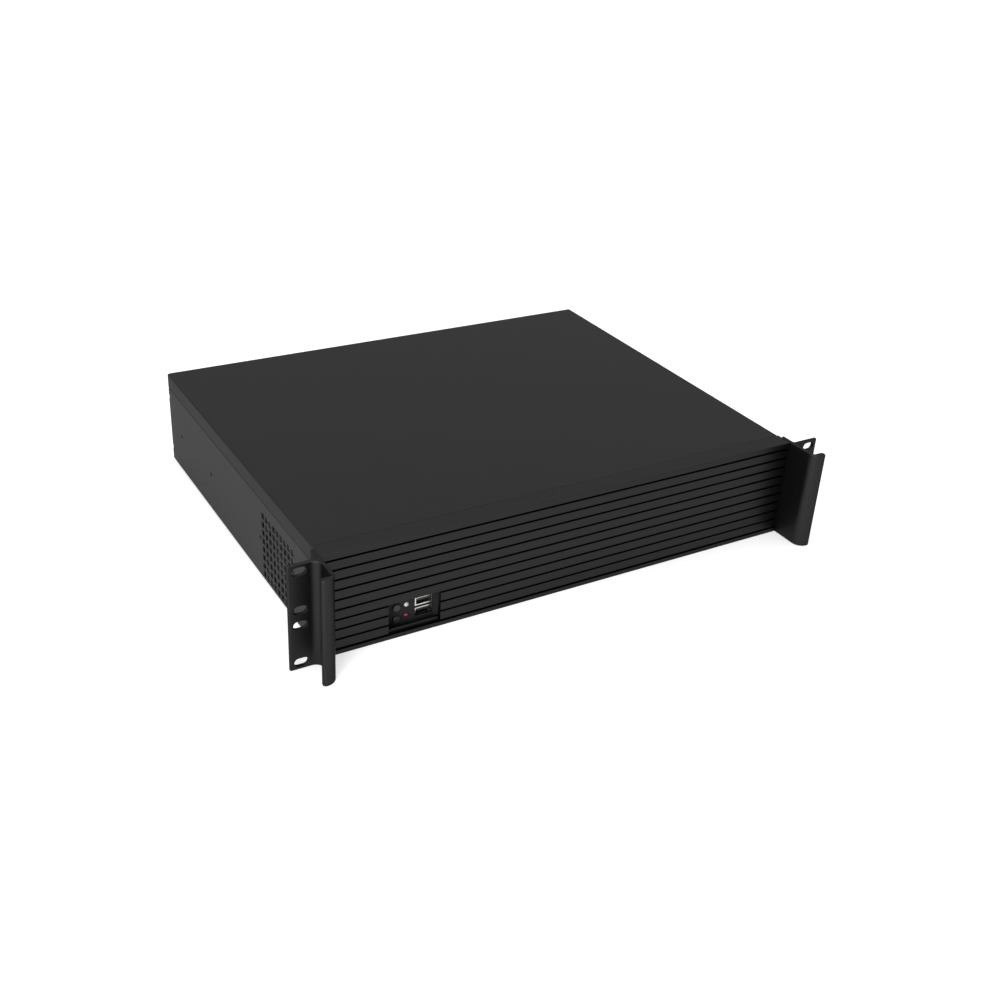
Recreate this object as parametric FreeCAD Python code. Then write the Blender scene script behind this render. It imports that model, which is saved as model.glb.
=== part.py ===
import FreeCAD, Part
import os
from math import cos, radians, sin, tan

# Empty two-unit rackmount server case, in millimetres.
# X runs to the right of someone facing the front, Y runs to the back, Z runs up.
# While drawing, Y = 0 is the front face of the rack flanges and Z = 0 is the bottom of the front panel.

V = FreeCAD.Vector
os.makedirs("parts", exist_ok=True)

# ---------------------------------------------------------------- driving sizes
# Rack standard
rack_width = 482.6              # over both rack flanges
rack_unit = 44.45               # height of one unit
rack_units = 2
rack_play = 0.8                 # the ears stay this much below full units
panel_play = 0.8                # the panel and the cover stay this much below the ears
rack_slot_edge = 8.75           # from a flange's outer edge to the middle of its slots
rack_slot_length = 11.0
rack_slot_height = 7.0
rack_slot_near = 12.7           # between the two inner slots
rack_slot_far = 31.75           # from an inner slot to its outer neighbour

# Case body
flange_reach = 26.3             # from the side of the case to the outer edge of the rack flange
case_depth = 350.0              # rack flange face to the back of the cover
steel = 1.0                     # body sheet
fold = 0.6                      # inside radius of the folds
fit = 0.2                       # clearance round parts that pass through holes
cover_gap = 0.2                 # between the cover and what it slides over
cover_skirt = 12.7              # height of the turned-down edges of the cover
cover_hem = 9.0                 # width of the hem under the front edge of the cover
skirt_corner_gap = 0.4          # between the side and back skirts at the rear corners
return_width = 8.0              # turned-in top edges of the side walls
tab = 12.0                      # length of the flanges that join the front wall to the tray
tab_relief = 1.6                # from the floor flange up to the side flanges

# Front panel extrusion
panel_front = 4.3               # how far its face lies behind the rack flange face
panel_depth = 15.4
panel_flange = 2.0              # its top and bottom walls
panel_web = 2.0                 # its back wall, behind the grooves
panel_edge = 0.6                # rounding of the panel's long edges
louvre_first = 4.5              # height of the lowest groove
louvre_top = 6.3                # least height of the plain strip above the highest groove
louvre_pitch = 8.5
louvre_groove = 1.5             # height of a groove
louvre_depth = 2.5
louvre_nose = 0.9               # slope under each louvre, above its groove
louvre_lean = 0.5               # how far the top of a louvre leans back
rib_height = 5.6                # screw channels on the back of the panel
rib_gap = 2.6
rib_low_up = 36.0               # from the bottom of the panel
rib_high_down = 16.3            # from the top of the panel
rib_inset = 6.0                 # the channels stop this far from the panel's ends
panel_screw_inset = 30.0        # from the end of the panel to the outer screws
panel_screw_columns = 4

# Window in the front panel for the switches and sockets
window_side = 53.5              # from the left end of the panel to the window
window_width = 43.3
window_louvres = 3              # the window is this many louvres high
window_foot = 0.3               # the window starts this much above the middle of the lowest groove
wall_window_in = 1.0            # the hole in the front wall is this much narrower at each side
sill_up = 3.1                   # the back wall of the panel stays up to here, above the lowest groove
io_face = 15.0                  # face of the recessed plate, behind the rack flange face

# Ears with their handles, extruded upward
ear_wall = 2.8                  # leg and web
ear_flange = 3.0
ear_leg_back = 15.0             # the leg ends here, behind the flange face
ear_fillet = 7.0                # hollow rounding between flange and web
ear_round = 1.0                 # edges and corners of the flange
ear_screw_up = 19.05            # from the bottom to the lower screw
ear_screw_down = 3.95           # from the joggle of the tray down to the upper screw
ear_tap = 2.2                   # depth of the tapped holes in its web
grip_front = 27.5               # how far the grip stands before the flange
grip_reach = 12.2               # how far the grip reaches out from the side of the case
grip_thick = 5.5
grip_round = 2.6                # end of the grip
grip_flat = 0.3                 # flat left between the big bend and the rounded end
grip_inner_round = 1.5

# Side walls
vent_hole = 5.2
vent_pitch = 7.5
vent_columns = 9
vent_rows = 8
vent_front = 57.0               # centre of the foremost column
vent_low = 8.3                  # centre of the lowest row
rail_hole = 3.6
rail_height = 38.3
rail_front = 124.5
rail_step = 114.5               # from the front hole to the middle one
rail_back = 32.0                # from the back of the case to the rear hole
notch_height = 4.0              # notches in the rear edge, where the rear wall's tabs show
notch_depth = 1.2
notch_low = 15.1
notch_high = 65.6

# Switches, lights and sockets: distances from the left end and the sill of the window
button_in = 11.1
button_up = 1.6
button_pitch = 10.4
button_across = 6.0
button_gap = 0.25
button_proud = 1.6
button_travel = 1.5
button_edge = 0.5               # rounding of the button's rim
collar_more = 1.2               # the collar is this much wider than the button
collar_thick = 1.0
stem_across = 2.6
stem_long = 5.0
switch_across = 7.2
light_in = 19.7
light_up = 2.7
light_pitch = 9.5
light_across = 4.0
light_proud = 1.3
light_collar = 0.8
light_behind = 3.0              # from the front wall to the back of the lens
usb_in = 33.8
usb_up = 3.7
usb_pitch = 9.2
usb_width = 13.6
usb_height = 6.2
usb_wall = 0.4
usb_rim = 0.5
tongue_width = 11.2
tongue_thick = 1.9
tongue_down = 0.2               # the tongue's underside lies this far below the middle of the socket
tongue_back = 0.8               # the tongue's tip lies this far behind the plate's face
board_sheet = 1.6               # thickness of the small circuit board
board_off = 10.0                # from the front wall to the small board
board_side_left = 4.5           # the board reaches past the window
board_side_right = 6.2
board_margin = 2.5              # from the board's edge to its posts, and below the window's top
board_post = 3.6

# Rear wall
rear_drop = 4.3                 # from the underside of the cover to the top of the rear wall
rear_recess = 11.8              # the rear wall lies this far in front of its screwed lip
rear_lip = 8.0                  # height of that lip
rear_tab = 8.0                  # floor and side flanges of the rear wall
io_width = 158.75               # opening for a main board's connectors
io_height = 44.45
io_low = 8.0
psu_side = 21.0                 # from the right side of the case to the power supply's opening
psu_width = 78.0
psu_height = 37.0
psu_low = 9.0
psu_screw_out = 3.5
psu_screw_in = 3.0
psu_io_gap = 11.25              # between the two openings
slot_pitch = 20.32
slot_io_gap = 14.0              # from the connector opening to the middle of the first slot
slot_side_gap = 10.0            # least distance from the last slot's middle to the side of the case
slot_open = 13.0
slot_open_low = 14.0
slot_open_down = 12.0           # from the top of the rear wall to the slots
blank_width = 18.4
blank_sheet = 0.8
blank_floor_gap = 1.5
blank_lip_gap = 1.0
blank_tip = 5.0                 # the narrow lower end of a blanking plate
blank_tip_width = 10.0
vent_slot_pitch = 10.0
vent_slot_wide = 3.2
vent_slot_gap = 6.0             # above the connector opening
vent_slot_inset = 4.0

# Inside
standoff_height = 6.35
standoff_across = 5.5
standoff_bore = 2.8
standoff_floor = 1.0            # left under the bore
board_gap_back = 12.2           # from the rear wall to the back row of standoffs
board_rows = [0.0, 154.94, 227.33]
board_columns = [0.0, 124.46, 281.94]
board_column_in = 3.15          # from the connector opening's right end to the first column
drive_width = 101.6
drive_play = 0.8
drive_low = [4.0, 31.0]         # undersides of the two drives above the floor
drive_hole = 3.8
drive_hole_up = 6.35            # from a drive's underside to its side holes
drive_holes = [28.5, 70.0, 130.1]
cage_front = 32.0
cage_length = 150.0
cage_height = 58.0
cage_foot = 12.0
cage_side_gap = 1.2
cage_screw_in = 4.5             # from the edge of a foot to its screws
cage_screw_end = 15.0
cage_windows = 4                # openings in the top of the cage
cage_window_wide = 16.0
cage_window_end = 14.0
cage_window_side = 20.0
bracket_gap = 8.0               # from the drive cage to the power supply's bracket
bracket_foot = 14.0
bracket_height = 24.0
bracket_inset = 4.0
bracket_hole_in = 10.0
bracket_hole_down = 8.0
fan_size = 60.0
fan_thick = 15.0
fan_bore = 57.0
fan_holes = 50.0
fan_hole = 4.0
fan_corner = 3.0
fan_arm = 2.5
fan_base = 2.0
fan_base_more = 1.0             # the disc that carries the bearing is this much wider than the hub
fan_base_floor = 0.7            # left behind the bearing's bore
fan_sleeve = 4.0                # length of the bearing sleeve
fan_sleeve_across = 8.0
fan_tip_gap = 1.0
fan_hub = 25.0
fan_hub_gap = 0.5
fan_hub_inset = 1.5
fan_blades = 7
fan_blade_chord = 9.0
fan_blade_thick = 1.2
fan_blade_turn = 52.0           # degrees out of the plane of the fan
fan_blade_root = 1.5
fan_shaft = 3.0
fan_shaft_gap = 0.05

# Screws
screw_thread = 3.0
screw_head = 5.5
screw_head_high = 1.8
blank_screw_long = 5.0
thumb_head = 8.0
thumb_head_long = 6.0
thumb_thread = 3.5
thumb_long = 5.0
thumb_inset = 35.0              # from the side of the case to the outer thumbscrews
joint_bite = 0.5                # how far one form of a piece runs into the next
past = 1.0                      # how far a cutting form runs past the face that it cuts

# ---------------------------------------------------------------- derived places
case_width = rack_width - 2 * flange_reach
half = case_width / 2.0
inner = half - steel
mid = steel / 2.0
ear_height = rack_units * rack_unit - rack_play
case_height = ear_height - panel_play
ear_edge = rack_width / 2.0
panel_back = panel_front + panel_depth
web_front = panel_front + louvre_depth
web_back = web_front + panel_web
floor_low = panel_flange
floor_top = floor_low + steel
cover_under = case_height - steel
cover_front = panel_back + cover_gap
return_top = cover_under - cover_gap
joggle = steel + cover_gap
skirt_low = case_height - cover_skirt
joggle_low = skirt_low - 2 * cover_gap - joggle
hem_under = cover_under - steel
wall_face = io_face + steel
wall_back = wall_face + steel
front_wall_top = hem_under - cover_gap
wall_half = half - joggle - return_width - cover_gap
side_wall_front = web_back + fit
side_tab_low = floor_top + steel + tab_relief
side_tab_high = joggle_low - steel
rear_top = cover_under - rear_drop
rear_face = case_depth - steel - cover_gap
rear_inner = rear_face - steel
rear_wall_face = rear_face - rear_recess
rear_wall_in = rear_wall_face - steel
louvre_count = int((case_height - louvre_top - louvre_first) / louvre_pitch + 1e-6) + 1
louvre_low = louvre_first + louvre_groove / 2.0
window_left = window_side - half
window_right = window_left + window_width
window_low = louvre_first + window_foot
window_high = louvre_low + window_louvres * louvre_pitch
window_sill = louvre_first + sill_up
ear_screw_y = (side_wall_front + ear_leg_back) / 2.0
ear_screw_rows = [ear_screw_up, joggle_low - ear_screw_down]
thumb_height = rear_top - steel - thumb_thread / 2.0 - fit - cover_gap
thumb_places = [thumb_inset - half, 0.0, half - thumb_inset]
psu_right = half - psu_side
psu_left = psu_right - psu_width
io_right = psu_left - psu_io_gap
io_left = io_right - io_width
slot_first = io_left - slot_io_gap
slot_count = int((slot_first + half - slot_side_gap) / slot_pitch) + 1
slot_centres = [slot_first - index * slot_pitch for index in range(slot_count)]
front_reach = -grip_front
back_reach = case_depth + thumb_head_long
middle = (front_reach + back_reach) / 2.0


# ---------------------------------------------------------------- helpers
def box(x0, x1, y0, y1, z0, z1):
    return Part.makeBox(x1 - x0, y1 - y0, z1 - z0, V(x0, y0, z0))


def rod_x(x0, x1, y, z, across):
    return Part.makeCylinder(across / 2.0, x1 - x0, V(x0, y, z), V(1, 0, 0))


def rod_y(x, y0, y1, z, across):
    return Part.makeCylinder(across / 2.0, y1 - y0, V(x, y0, z), V(0, 1, 0))


def rod_z(x, y, z0, z1, across):
    return Part.makeCylinder(across / 2.0, z1 - z0, V(x, y, z0), V(0, 0, 1))


def fuse(shapes):
    return shapes[0].multiFuse(shapes[1:]).removeSplitter()


def cut(shape, tools):
    return shape.cut(Part.makeCompound(tools))


def mirrored(shape):
    return shape.mirror(V(0, 0, 0), V(1, 0, 0))


def bent_outline(path, thick):
    """Outline of a folded sheet whose middle line is the path, as a closed wire in a flat plane."""
    middle_radius = fold + thick / 2.0
    left = []
    right = []
    for index, corner in enumerate(path):
        if index in (0, len(path) - 1):
            way = path[1] - path[0] if index == 0 else path[-1] - path[-2]
            way.normalize()
            across = V(-way.y, way.x, 0) * (thick / 2.0)
            left.append((corner + across,))
            right.append((corner - across,))
            continue
        before = corner - path[index - 1]
        after = path[index + 1] - corner
        before.normalize()
        after.normalize()
        turn = 1.0 if before.cross(after).z > 0 else -1.0
        start = corner - before * (middle_radius * tan(before.getAngle(after) / 2.0))
        centre = start + V(-before.y, before.x, 0) * (turn * middle_radius)
        outward = corner - centre
        outward.normalize()
        for side, points in ((1.0, left), (-1.0, right)):
            radius = middle_radius - turn * side * thick / 2.0
            first = centre - V(-before.y, before.x, 0) * (turn * radius)
            last = centre - V(-after.y, after.x, 0) * (turn * radius)
            points.append((first, centre + outward * radius, last))
    run = left + [points[::-1] for points in right[::-1]]
    edges = []
    for index, points in enumerate(run):
        if len(points) == 3:
            edges.append(Part.Arc(*points).toShape())
        edges.append(Part.makeLine(points[-1], run[(index + 1) % len(run)][0]))
    return Part.Wire(edges)


def folded_along_y(path, thick, y0, y1):
    """Folded sheet with its section in X and Z, running along Y."""
    solid = Part.Face(bent_outline([V(x, z, 0) for x, z in path], thick)).extrude(V(0, 0, y1 - y0))
    solid.rotate(V(0, 0, 0), V(1, 0, 0), 90)
    solid.translate(V(0, y1, 0))
    return solid


def folded_along_x(path, thick, x0, x1):
    """Folded sheet with its section in Y and Z, running along X."""
    solid = Part.Face(bent_outline([V(y, z, 0) for y, z in path], thick)).extrude(V(0, 0, x1 - x0))
    solid.rotate(V(0, 0, 0), V(1, 1, 1), 120)
    solid.translate(V(x0, 0, 0))
    return solid


def folded_along_z(path, thick, z0, z1):
    """Folded sheet with its section in X and Y, running along Z."""
    solid = Part.Face(bent_outline([V(x, y, 0) for x, y in path], thick)).extrude(V(0, 0, z1 - z0))
    solid.translate(V(0, 0, z0))
    return solid


def outline(steps):
    """Closed wire: a point draws a line to itself, and a pair of points draws an arc through the first."""
    edges = []
    here = steps[0]
    for step in steps[1:] + [steps[0]]:
        if isinstance(step, tuple):
            edges.append(Part.Arc(here, step[0], step[1]).toShape())
            here = step[1]
        else:
            edges.append(Part.makeLine(here, step))
            here = step
    return Part.Wire(edges)


def corner_arc(corner, start_way, end_way, radius):
    """Steps for a quarter arc that rounds a square corner: from corner + start_way to corner + end_way."""
    a = V(*start_way, 0) * radius
    b = V(*end_way, 0) * radius
    point = V(*corner, 0)
    return [point + a, (point + (a + b) * (1 - sin(radians(45))), point + b)]


def save(name, shapes):
    """Write one piece, or a group of like pieces, centred front to back."""
    solids = [solid.copy() for shape in shapes for solid in shape.Solids]
    for solid in solids:
        solid.translate(V(0, -middle, 0))
    whole = solids[0] if len(solids) == 1 else Part.makeCompound(solids)
    whole.exportStep("parts/" + name + ".step")


# ---------------------------------------------------------------- chassis tray
# Floor and both sides are one folded sheet. Above the seam the sides step inward, so that the
# turned-down edges of the cover lie flush with them, and their tops turn in to carry the cover.
right_side = [
    (half - mid, floor_low + mid),
    (half - mid, joggle_low),
    (half - joggle - mid, joggle_low + joggle),
    (half - joggle - mid, return_top - mid),
    (half - joggle - return_width, return_top - mid),
]
left_side = [(-x, z) for x, z in right_side]
tray = folded_along_y(left_side[::-1] + right_side, steel, side_wall_front, rear_face)
tray_cuts = [box(-half, half, 0, cover_front, front_wall_top - cover_gap, case_height)]
side_holes = []
for column in range(vent_columns):
    for row in range(vent_rows):
        y = vent_front + column * vent_pitch - vent_hole / 2.0
        z = vent_low + row * vent_pitch - vent_hole / 2.0
        side_holes.append(box(inner - past, half + past, y, y + vent_hole, z, z + vent_hole))
for y in (rail_front, rail_front + rail_step, case_depth - rail_back):
    side_holes.append(rod_x(inner - past, half + past, y, rail_height, rail_hole))
for z in ear_screw_rows:
    side_holes.append(rod_x(inner - past, half + past, ear_screw_y, z, screw_thread + 2 * fit))
for z in (notch_low, notch_high):
    side_holes.append(box(inner - past, half + past, rear_face - notch_depth, rear_face + past,
                          z - notch_height / 2.0, z + notch_height / 2.0))
tray_cuts += side_holes + [mirrored(hole) for hole in side_holes]
tray = cut(tray, tray_cuts)
save("chassis_tray", [tray])

# ---------------------------------------------------------------- front wall
# A folded wall behind the front panel, joined to the tray by flanges at the floor and the sides.
front_middle = folded_along_x([
    (wall_face + tab, floor_top + mid),
    (wall_face + mid, floor_top + mid),
    (wall_face + mid, front_wall_top - mid),
    (wall_face + tab, front_wall_top - mid),
], steel, -wall_half, wall_half)
front_wide = folded_along_z([
    (mid - inner, wall_face + tab),
    (mid - inner, wall_face + mid),
    (inner - mid, wall_face + mid),
    (inner - mid, wall_face + tab),
], steel, side_tab_low, side_tab_high)
board_left = window_left - board_side_left
board_right = window_right + board_side_right
board_low = floor_top + 2 * steel
board_high = window_high - board_margin
board_front = wall_back + board_off
rib_low = rib_low_up
rib_high = case_height - rib_high_down
screw_span = case_width - 2 * panel_screw_inset
panel_screw_places = []
for index in range(panel_screw_columns):
    for z in (rib_low, rib_high):
        panel_screw_places.append((screw_span * (index / (panel_screw_columns - 1.0) - 0.5), z))
wall_cuts = [box(window_left + wall_window_in, window_right - wall_window_in, wall_face - past,
                 wall_back + past, side_tab_low, board_high)]
for x, z in panel_screw_places:
    wall_cuts.append(rod_y(x, wall_face - past, wall_back + past, z, screw_thread + fit))
save("front_wall", [cut(fuse([front_middle, front_wide]), wall_cuts)])

# ---------------------------------------------------------------- front panel
# One extrusion: two flanges, grooves under sloping noses, and two screw channels on the back.
steps = [V(panel_back, 0, 0)]
steps += corner_arc((panel_front, 0), (1, 0), (0, 1), panel_edge)
for index in range(louvre_count):
    low = louvre_first - louvre_groove / 2.0 + index * louvre_pitch
    high = low + louvre_groove
    lean = louvre_lean if index > 0 else 0.0
    steps.append(V(panel_front + lean, low, 0))
    steps.append(V(web_front, low, 0))
    steps.append(V(web_front, high, 0))
    steps.append(V(panel_front + louvre_nose, high, 0))
    steps.append(V(panel_front + louvre_nose * 0.3, high + louvre_nose * 0.3, 0))
    steps.append(V(panel_front, high + louvre_nose, 0))
steps += corner_arc((panel_front, case_height), (0, -1), (1, 0), panel_edge)
steps.append(V(panel_back, case_height, 0))
steps.append(V(panel_back, case_height - panel_flange, 0))
steps.append(V(web_back, case_height - panel_flange, 0))
for rib in (rib_high, rib_low):
    for top, bottom in ((rib_height / 2.0, rib_gap / 2.0), (-rib_gap / 2.0, -rib_height / 2.0)):
        steps.append(V(web_back, rib + top, 0))
        steps.append(V(wall_face, rib + top, 0))
        steps.append(V(wall_face, rib + bottom, 0))
        steps.append(V(web_back, rib + bottom, 0))
steps.append(V(web_back, panel_flange, 0))
steps.append(V(panel_back, panel_flange, 0))
panel = Part.Face(outline(steps)).extrude(V(0, 0, case_width))
panel.rotate(V(0, 0, 0), V(1, 1, 1), 120)
panel.translate(V(-half, 0, 0))
rib_end = box(half - rib_inset, half + past, web_back, wall_face + past,
              rib_low - rib_height, rib_high + rib_height)
panel_cuts = [
    box(window_left, window_right, panel_front - past, web_front, window_low, window_high),
    box(window_left, window_right, web_front - past, web_back + past, window_sill, window_high),
    rib_end,
    mirrored(rib_end),
]
save("front_panel", [cut(panel, panel_cuts)])

# ---------------------------------------------------------------- ears with handles
# Section of the right ear: a leg along the case, the slotted rack flange, and a grip that turns outward.
ear_out = half + ear_wall
grip_end = half + grip_reach
grip_bend = grip_reach - grip_round - grip_flat
grip_back = grip_thick - grip_front
ear_steps = [V(half, ear_leg_back, 0), V(ear_out, ear_leg_back, 0)]
ear_steps += corner_arc((ear_out, ear_flange), (0, 1), (1, 0), ear_round)
ear_steps += corner_arc((ear_edge, ear_flange), (-1, 0), (0, -1), ear_round)
ear_steps += corner_arc((ear_edge, 0), (0, 1), (-1, 0), ear_round)
ear_steps += corner_arc((ear_out, 0), (1, 0), (0, -1), ear_fillet)
ear_steps += corner_arc((ear_out, grip_back), (0, 1), (1, 0), grip_inner_round)
ear_steps += corner_arc((grip_end, grip_back), (-1, 0), (0, -1), grip_round)
ear_steps += corner_arc((grip_end, -grip_front), (0, 1), (-1, 0), grip_round)
ear_steps += corner_arc((half, -grip_front), (1, 0), (0, 1), grip_bend)
ear = Part.Face(outline(ear_steps)).extrude(V(0, 0, ear_height))
slot_x = ear_edge - rack_slot_edge
slot_reach = (rack_slot_length - rack_slot_height) / 2.0
ear_cuts = []
for up in (rack_slot_near / 2.0, rack_slot_near / 2.0 + rack_slot_far):
    for z in (ear_height / 2.0 - up, ear_height / 2.0 + up):
        ear_cuts.append(fuse([
            box(slot_x - slot_reach, slot_x + slot_reach, -past, ear_flange + past,
                z - rack_slot_height / 2.0, z + rack_slot_height / 2.0),
            rod_y(slot_x - slot_reach, -past, ear_flange + past, z, rack_slot_height),
            rod_y(slot_x + slot_reach, -past, ear_flange + past, z, rack_slot_height),
        ]))
for z in ear_screw_rows:
    ear_cuts.append(rod_x(half - past, half + ear_tap, ear_screw_y, z, screw_thread + fit))
ear = cut(ear, ear_cuts)
corners = []
for edge in ear.Edges:
    extent = edge.BoundBox
    if extent.XLength < 1e-6 and extent.ZLength < 1e-6 and abs(extent.XMax - ear_edge) < 1e-6:
        corners.append(edge)
ear = ear.makeFillet(ear_round, corners)
save("right_ear", [ear])
save("left_ear", [mirrored(ear)])

ear_screws = []
for z in ear_screw_rows:
    screw = fuse([
        rod_x(inner - screw_head_high, inner, ear_screw_y, z, screw_head),
        rod_x(inner - joint_bite, half + ear_tap - fit, ear_screw_y, z, screw_thread),
    ])
    ear_screws += [screw, mirrored(screw)]
save("ear_screws", ear_screws)

panel_screws = []
for x, z in panel_screw_places:
    panel_screws.append(fuse([
        rod_y(x, wall_back, wall_back + screw_head_high, z, screw_head),
        rod_y(x, web_back + louvre_groove, wall_back + joint_bite, z, rib_gap - fit / 2.0),
    ]))
save("panel_screws", panel_screws)

# ---------------------------------------------------------------- recessed plate for switches and sockets
# A small folded pan. Its cheeks reach forward to the back of the panel and close the sides of the recess.
button_x = window_left + button_in
light_x = window_left + light_in
usb_x = window_left + usb_in
button_rows = [window_sill + button_up + button_pitch, window_sill + button_up]
light_rows = [window_sill + light_up + light_pitch, window_sill + light_up]
usb_rows = [window_sill + usb_up + usb_pitch, window_sill + usb_up]
plate = folded_along_z([
    (window_left - mid, web_back),
    (window_left - mid, io_face + mid),
    (window_right + mid, io_face + mid),
    (window_right + mid, web_back),
], steel, floor_top + mid, window_high + mid)
plate_cuts = []
for z in button_rows:
    plate_cuts.append(rod_y(button_x, io_face - past, wall_face + past, z, button_across + 2 * button_gap))
for z in light_rows:
    plate_cuts.append(rod_y(light_x, io_face - past, wall_face + past, z, light_across + fit))
for z in usb_rows:
    reach_x = (usb_width + fit) / 2.0
    reach_z = (usb_height + fit) / 2.0
    plate_cuts.append(box(usb_x - reach_x, usb_x + reach_x, io_face - past, wall_face + past,
                          z - reach_z, z + reach_z))
save("io_plate", [cut(plate, plate_cuts)])

# ---------------------------------------------------------------- small board behind the plate
# The board stands on four posts and carries the switches, the lights and both sockets.
board_back = board_front + board_sheet
save("io_board", [box(board_left, board_right, board_front, board_back, board_low, board_high)])
posts = []
for x in (board_left + board_margin, board_right - board_margin):
    for z in (board_low + board_margin, board_high - board_margin):
        posts.append(rod_y(x, wall_back, board_front, z, board_post))
save("io_board_posts", posts)

# Each button is held behind the plate by its collar, and its stem runs into the switch.
button_face = io_face - button_proud
collar_front = wall_face + fit
collar_back = collar_front + collar_thick
stem_back = collar_back + stem_long
switch_front = collar_back + button_travel + 4 * fit
for name, z in zip(("power", "reset"), button_rows):
    cap = rod_y(button_x, button_face, collar_front + joint_bite, z, button_across)
    rim = [edge for edge in cap.Edges if edge.Closed and abs(edge.BoundBox.YMax - button_face) < 1e-6]
    save(name + "_button", [fuse([
        cap.makeFillet(button_edge, rim),
        rod_y(button_x, collar_front, collar_back, z, button_across + collar_more),
        rod_y(button_x, collar_back - joint_bite, stem_back, z, stem_across),
    ])])
    reach = switch_across / 2.0
    body = box(button_x - reach, button_x + reach, switch_front, board_front, z - reach, z + reach)
    bore_back = stem_back + button_travel + 2 * fit
    bore = rod_y(button_x, switch_front - past, bore_back, z, stem_across + 3 * fit)
    save(name + "_switch", [body.cut(bore)])

# Each light is a domed lens with a collar, on a spacer.
light_back = wall_back + light_behind
dome_start = io_face - light_proud + light_across / 2.0
spacers = []
for name, z in zip(("power_light", "drive_light"), light_rows):
    dome = Part.makeSphere(light_across / 2.0, V(light_x, dome_start, z), V(0, 1, 0), -90, 0, 360)
    save(name, [fuse([
        dome,
        rod_y(light_x, dome_start, light_back, z, light_across),
        rod_y(light_x, light_back - light_collar, light_back, z, light_across + light_collar),
    ])])
    spacers.append(rod_y(light_x, light_back, board_front, z, light_across + light_collar))
save("light_spacers", spacers)

# Each socket is a thin rimmed shell with a tongue inside.
for name, z in zip(("upper", "lower"), usb_rows):
    reach_x = usb_width / 2.0
    reach_z = usb_height / 2.0
    shell = fuse([
        box(usb_x - reach_x, usb_x + reach_x, io_face - usb_rim, board_front, z - reach_z, z + reach_z),
        box(usb_x - reach_x - usb_rim, usb_x + reach_x + usb_rim, io_face - usb_rim, io_face,
            z - reach_z - usb_rim, z + reach_z + usb_rim),
    ])
    hollow = box(usb_x - reach_x + usb_wall, usb_x + reach_x - usb_wall, io_face - usb_rim - past,
                 board_front - usb_wall, z - reach_z + usb_wall, z + reach_z - usb_wall)
    save("usb_shell_" + name, [shell.cut(hollow)])
    tongue = box(usb_x - tongue_width / 2.0, usb_x + tongue_width / 2.0, io_face + tongue_back,
                 board_front - usb_wall, z - tongue_down, z - tongue_down + tongue_thick)
    save("usb_tongue_" + name, [tongue])

# ---------------------------------------------------------------- rear wall
# Folded: a floor flange, a wall with its openings, a ledge over the slots, and a lip for the cover's screws.
rear_middle = folded_along_x([
    (rear_wall_in - rear_tab, floor_top + mid),
    (rear_wall_in + mid, floor_top + mid),
    (rear_wall_in + mid, rear_top - mid),
    (rear_face - mid, rear_top - mid),
    (rear_face - mid, rear_top - rear_lip),
], steel, -wall_half, wall_half)
rear_wide = folded_along_z([
    (mid - inner, rear_wall_in - rear_tab),
    (mid - inner, rear_wall_in + mid),
    (inner - mid, rear_wall_in + mid),
    (inner - mid, rear_wall_in - rear_tab),
], steel, side_tab_low, side_tab_high)
hole_in = rear_wall_in - past
hole_out = rear_wall_face + past
blank_screw_y = (rear_wall_face + rear_inner) / 2.0
rear_cuts = [
    box(io_left, io_right, hole_in, hole_out, io_low, io_low + io_height),
    box(psu_left, psu_right, hole_in, hole_out, psu_low, psu_low + psu_height),
]
for x in (psu_left - psu_screw_out, psu_right + psu_screw_out):
    for z in (psu_low + psu_screw_in, psu_low + psu_height - psu_screw_in):
        rear_cuts.append(rod_y(x, hole_in, hole_out, z, rail_hole))
for x in slot_centres:
    rear_cuts.append(box(x - slot_open / 2.0, x + slot_open / 2.0, hole_in, hole_out,
                         slot_open_low, rear_top - slot_open_down))
    rear_cuts.append(rod_z(x, blank_screw_y, rear_top - steel - past, rear_top + past, screw_thread + fit))
for x in thumb_places:
    rear_cuts.append(rod_y(x, rear_inner - past, rear_face + past, thumb_height, thumb_thread + 2 * fit))
vent_slots = int((io_width - 2 * vent_slot_inset) / vent_slot_pitch) + 1
vent_slot_first = (io_left + io_right - (vent_slots - 1) * vent_slot_pitch) / 2.0
for index in range(vent_slots):
    x = vent_slot_first + index * vent_slot_pitch
    rear_cuts.append(box(x - vent_slot_wide / 2.0, x + vent_slot_wide / 2.0, hole_in, hole_out,
                         io_low + io_height + vent_slot_gap, rear_top - slot_open_down))
save("rear_panel", [cut(fuse([rear_middle, rear_wide]), rear_cuts)])

# ---------------------------------------------------------------- blanking plates of the slots
# Each plate stands against the inside of the rear wall, and its top folds back over the ledge.
blank_low = floor_top + steel + blank_floor_gap
blank_screws = []
for index, x in enumerate(slot_centres):
    blank = folded_along_x([
        (rear_wall_in - blank_sheet / 2.0, blank_low),
        (rear_wall_in - blank_sheet / 2.0, rear_top + blank_sheet / 2.0),
        (rear_inner - blank_lip_gap, rear_top + blank_sheet / 2.0),
    ], blank_sheet, x - blank_width / 2.0, x + blank_width / 2.0)
    tip_y = (rear_wall_in - blank_sheet - past, rear_wall_in + past)
    tip_z = (blank_low - past, blank_low + blank_tip)
    save("slot_cover_" + str(index + 1), [cut(blank, [
        box(x - blank_width, x - blank_tip_width / 2.0, *tip_y, *tip_z),
        box(x + blank_tip_width / 2.0, x + blank_width, *tip_y, *tip_z),
        rod_z(x, blank_screw_y, rear_top - past, rear_top + blank_sheet + past, screw_thread + 2 * fit),
    ])])
    head_low = rear_top + blank_sheet
    blank_screws.append(fuse([
        rod_z(x, blank_screw_y, head_low, head_low + screw_head_high, screw_head),
        rod_z(x, blank_screw_y, rear_top - blank_screw_long, head_low + joint_bite, screw_thread),
    ]))
save("slot_screws", blank_screws)

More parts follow.
